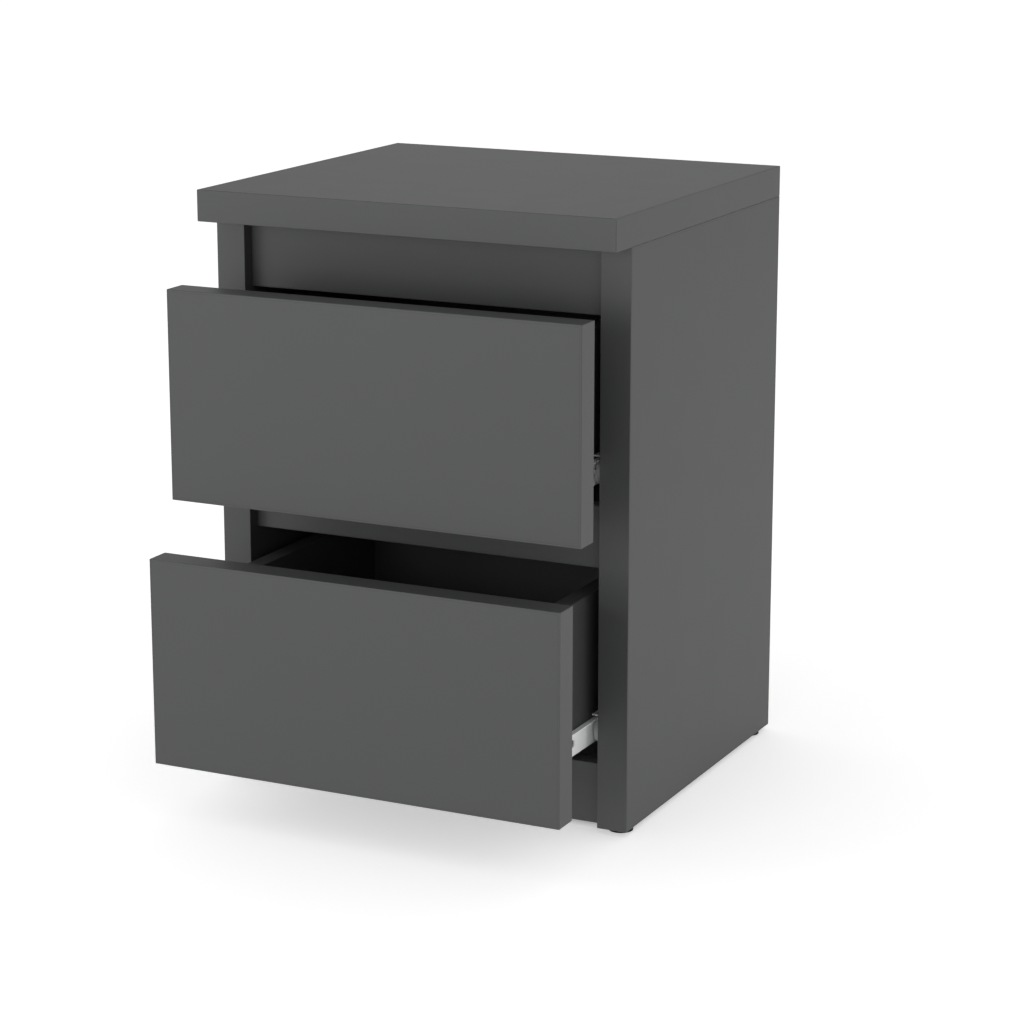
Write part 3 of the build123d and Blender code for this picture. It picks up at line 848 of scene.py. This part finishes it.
class BEDSIDE_OT_glides(CabinetOperator, bpy.types.Operator):
    """Finish the glides under the side panels"""

    bl_idname = "bedside.glides"
    bl_label = "Finish the glides"

    def execute(self, context):
        black = plastic_finish("glide_plastic", settings().fittings.plastic, 0.62, 0.1, 0.02 * MM)
        for end in ("front", "rear"):
            for side in SIDES:
                wear(f"{end}_{side}_glide", black)
        return {"FINISHED"}


class BEDSIDE_OT_wheels(CabinetOperator, bpy.types.Operator):
    """Make the runners' nylon wheels, one on each of their bodies"""

    bl_idname = "bedside.wheels"
    bl_label = "Make the wheels"

    def execute(self, context):
        look = settings().fittings
        nylon = plastic_finish("wheel_nylon", look.nylon, 0.38, 0.5, 0.006 * MM)
        tree = wheel_shape()

        def sizes(width, radius):
            return {"Radius": radius, "Width": width, "Ribs": look.spokes, "Rib": look.spoke_width}

        for level in LEVELS:
            for side in SIDES:
                for end in ("front", "rear"):
                    node = f"{level}_{side}_{end}_wheel"
                    place_shape(f"{level}_{side}_{end}_ribbed_wheel", node, tree, nylon, sizes, axis=0)
        return {"FINISHED"}


class BEDSIDE_OT_screws(CabinetOperator, bpy.types.Operator):
    """Make the runners' screws and the screws at the drawer boxes' rear corners"""

    bl_idname = "bedside.screws"
    bl_label = "Make the screws"

    def execute(self, context):
        look = settings().fittings
        plated = metal_finish("screw_steel", look.steel, 0.28, 0.003 * MM)
        tree = screw_shape()

        def sizes(length, radius):
            thin = {"Shank": 0.5 * radius, "Core": look.screw_core}
            cut = {"Pitch": look.screw_pitch, "Recess": look.recess}
            return {"Length": length, "Head": radius, **thin, **cut}

        place_shape("cabinet_profile_threaded_screws", "cabinet_profile_screws", tree, plated, sizes)
        for level in LEVELS:
            for group in ("drawer_profile", "box_corner"):
                name = f"{level}_{group}_threaded_screws"
                place_shape(name, f"{level}_{group}_screws", tree, plated, sizes)
        return {"FINISHED"}


class BEDSIDE_OT_bolts(CabinetOperator, bpy.types.Operator):
    """Make the cam bolts of the cabinet and of both drawer boxes"""

    bl_idname = "bedside.bolts"
    bl_label = "Make the cam bolts"

    def execute(self, context):
        look = settings().fittings
        plated = metal_finish("bolt_steel", look.steel, 0.32, 0.003 * MM)
        tree = bolt_shape()

        def sizes(length, radius):
            return {"Length": length, "Head": radius, "Pitch": look.bolt_pitch}

        for group in ("cabinet", *(f"{level}_box" for level in LEVELS)):
            place_shape(f"{group}_threaded_cam_bolts", f"{group}_cam_bolts", tree, plated, sizes)
        return {"FINISHED"}


class BEDSIDE_OT_nails(CabinetOperator, bpy.types.Operator):
    """Make the nails of the back panel, the drawer floors and the glides"""

    bl_idname = "bedside.nails"
    bl_label = "Make the nails"

    def execute(self, context):
        plated = metal_finish("nail_steel", settings().fittings.steel, 0.36, 0.004 * MM)
        tree = nail_shape()

        def sizes(length, radius):
            return {"Length": length, "Head": radius, "Shank": 0.36 * radius}

        for group in ("back_panel", "glide", *(f"{level}_box_floor" for level in LEVELS)):
            place_shape(f"{group}_ringed_nails", f"{group}_nails", tree, plated, sizes)
        return {"FINISHED"}


class BEDSIDE_OT_dowels(CabinetOperator, bpy.types.Operator):
    """Make the fluted dowels of the cabinet and of both drawer boxes"""

    bl_idname = "bedside.dowels"
    bl_label = "Make the dowels"

    def execute(self, context):
        beech = beech_finish()
        tree = dowel_shape()

        def sizes(length, radius):
            return {"Length": length, "Radius": radius, "Flute": settings().fittings.flute}

        for group in ("cabinet", *(f"{level}_box" for level in LEVELS)):
            place_shape(f"{group}_fluted_dowels", f"{group}_dowels", tree, beech, sizes)
        return {"FINISHED"}


class BEDSIDE_OT_studio(CabinetOperator, bpy.types.Operator):
    """Set up the floor, the light and the camera"""

    bl_idname = "bedside.studio"
    bl_label = "Set up the studio"

    def execute(self, context):
        look = settings().studio
        self.lay_floor(look)
        self.light_sky(context.scene, look)
        self.hang_lamp("front_lamp", look.front_lamp, 1.2, Vector((-0.6, -3.2, 0.75)))
        self.hang_lamp("left_lamp", look.left_lamp, 1.2, Vector((-2.3, -2.2, 0.75)))
        self.hang_lamp("right_lamp", look.right_lamp, 1.2, Vector((2.0, -2.6, 0.75)))
        self.hang_lamp("back_lamp", look.back_lamp, 2.4, Vector((-0.8, 3.2, 1.6)))
        self.hang_lamp("high_lamp", look.high_lamp, 1.6, Vector((0.6, 0.9, 2.4)))
        self.set_camera(context.scene, look)
        context.scene.view_settings.view_transform = "Standard"
        return {"FINISHED"}

    def lay_floor(self, look):
        half = look.floor_size / 2
        corners = [(-half, -half, 0), (half, -half, 0), (half, half, 0), (-half, half, 0)]
        mesh = bpy.data.meshes.new("floor")
        mesh.from_pydata(corners, [], [(0, 1, 2, 3)])
        floor = bpy.data.objects.new("floor", mesh)
        bpy.context.scene.collection.objects.link(floor)
        paint = Finish("studio_floor", Specular_IOR_Level=0.2, Emission_Strength=look.glow)
        tone = paint.varied(look.floor, 0.004, paint.noise(3.0, 3.0))
        # The floor gives off painted light, and this glow fades out near and under the cabinet's footprint:
        # a painted shadow under the cabinet
        low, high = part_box("right_side_panel")
        across = abs(paint.along[0]) - high[0]
        along = abs(paint.along[1] - (low[1] + high[1]) / 2) - (high[1] - low[1]) / 2
        glow_outside_painted_shadow = across.larger(along).rise(-45 * MM, -10 * MM)
        paint.feed(paint.surface["Emission Color"], paint.mix(glow_outside_painted_shadow, (0.0, 0.0, 0.0), tone))
        mesh.materials.append(paint.paint(tone, 0.7, paint.noise(200.0) * 0.001 * MM))

    def light_sky(self, scene, look):
        scene.world = bpy.data.worlds.new("studio_sky")
        scene.world.use_nodes = True
        sky = scene.world.node_tree.nodes["Background"].inputs
        sky["Color"].default_value = (*look.sky, 1)
        sky["Strength"].default_value = look.sky_strength

    def hang_lamp(self, name, power, size, place):
        """A square soft lamp that faces the middle of the cabinet."""
        middle = Vector((0, 0, 0.27))
        lamp = bpy.data.lights.new(name, "AREA")
        lamp.energy = power
        lamp.size = size
        hung = bpy.data.objects.new(name, lamp)
        hung.location = place
        hung.rotation_euler = (middle - place).to_track_quat("-Z", "Y").to_euler()
        bpy.context.scene.collection.objects.link(hung)

    def set_camera(self, scene, look):
        aim = Vector((look.aim_right, 0, look.aim_height))
        level = math.cos(look.elevation)
        back = Vector(
            (math.sin(look.azimuth) * level, -math.cos(look.azimuth) * level, math.sin(look.elevation))
        )
        lens = bpy.data.cameras.new("camera")
        lens.lens = look.lens
        lens.sensor_width = 36
        camera = bpy.data.objects.new("camera", lens)
        camera.location = aim + back * look.distance
        camera.rotation_euler = (-back).to_track_quat("-Z", "Y").to_euler()
        scene.collection.objects.link(camera)
        scene.camera = camera


OPERATORS = (
    BEDSIDE_OT_boards,
    BEDSIDE_OT_hardboard,
    BEDSIDE_OT_runners,
    BEDSIDE_OT_metalwork,
    BEDSIDE_OT_glides,
    BEDSIDE_OT_wheels,
    BEDSIDE_OT_screws,
    BEDSIDE_OT_bolts,
    BEDSIDE_OT_nails,
    BEDSIDE_OT_dowels,
    BEDSIDE_OT_studio,
)


class BEDSIDE_PT_cabinet(bpy.types.Panel):
    """The cabinet's sizes and colours, and a button for each step"""

    bl_label = "Bedside cabinet"
    bl_space_type = "VIEW_3D"
    bl_region_type = "UI"
    bl_category = "Cabinet"

    def draw(self, context):
        for group in ("boards", "fittings", "studio"):
            look = getattr(context.scene.bedside_cabinet, group)
            box = self.layout.box()
            box.label(text=group.capitalize())
            for name in look.__annotations__:
                box.prop(look, name)
        for operator in OPERATORS:
            self.layout.operator(operator.bl_idname)


CLASSES = (
    BoardSettings,
    FittingSettings,
    StudioSettings,
    CabinetSettings,
    *OPERATORS,
    BEDSIDE_PT_cabinet,
)


def register():
    for each in CLASSES:
        bpy.utils.register_class(each)
    bpy.types.Scene.bedside_cabinet = PointerProperty(type=CabinetSettings)


def unregister():
    del bpy.types.Scene.bedside_cabinet
    for each in reversed(CLASSES):
        bpy.utils.unregister_class(each)


def main():
    register()
    bpy.ops.bedside.boards()
    bpy.ops.bedside.hardboard()
    bpy.ops.bedside.runners()
    bpy.ops.bedside.metalwork()
    bpy.ops.bedside.glides()
    bpy.ops.bedside.wheels()
    bpy.ops.bedside.screws()
    bpy.ops.bedside.bolts()
    bpy.ops.bedside.nails()
    bpy.ops.bedside.dowels()
    bpy.ops.bedside.studio()


if __name__ == "__main__":
    main()
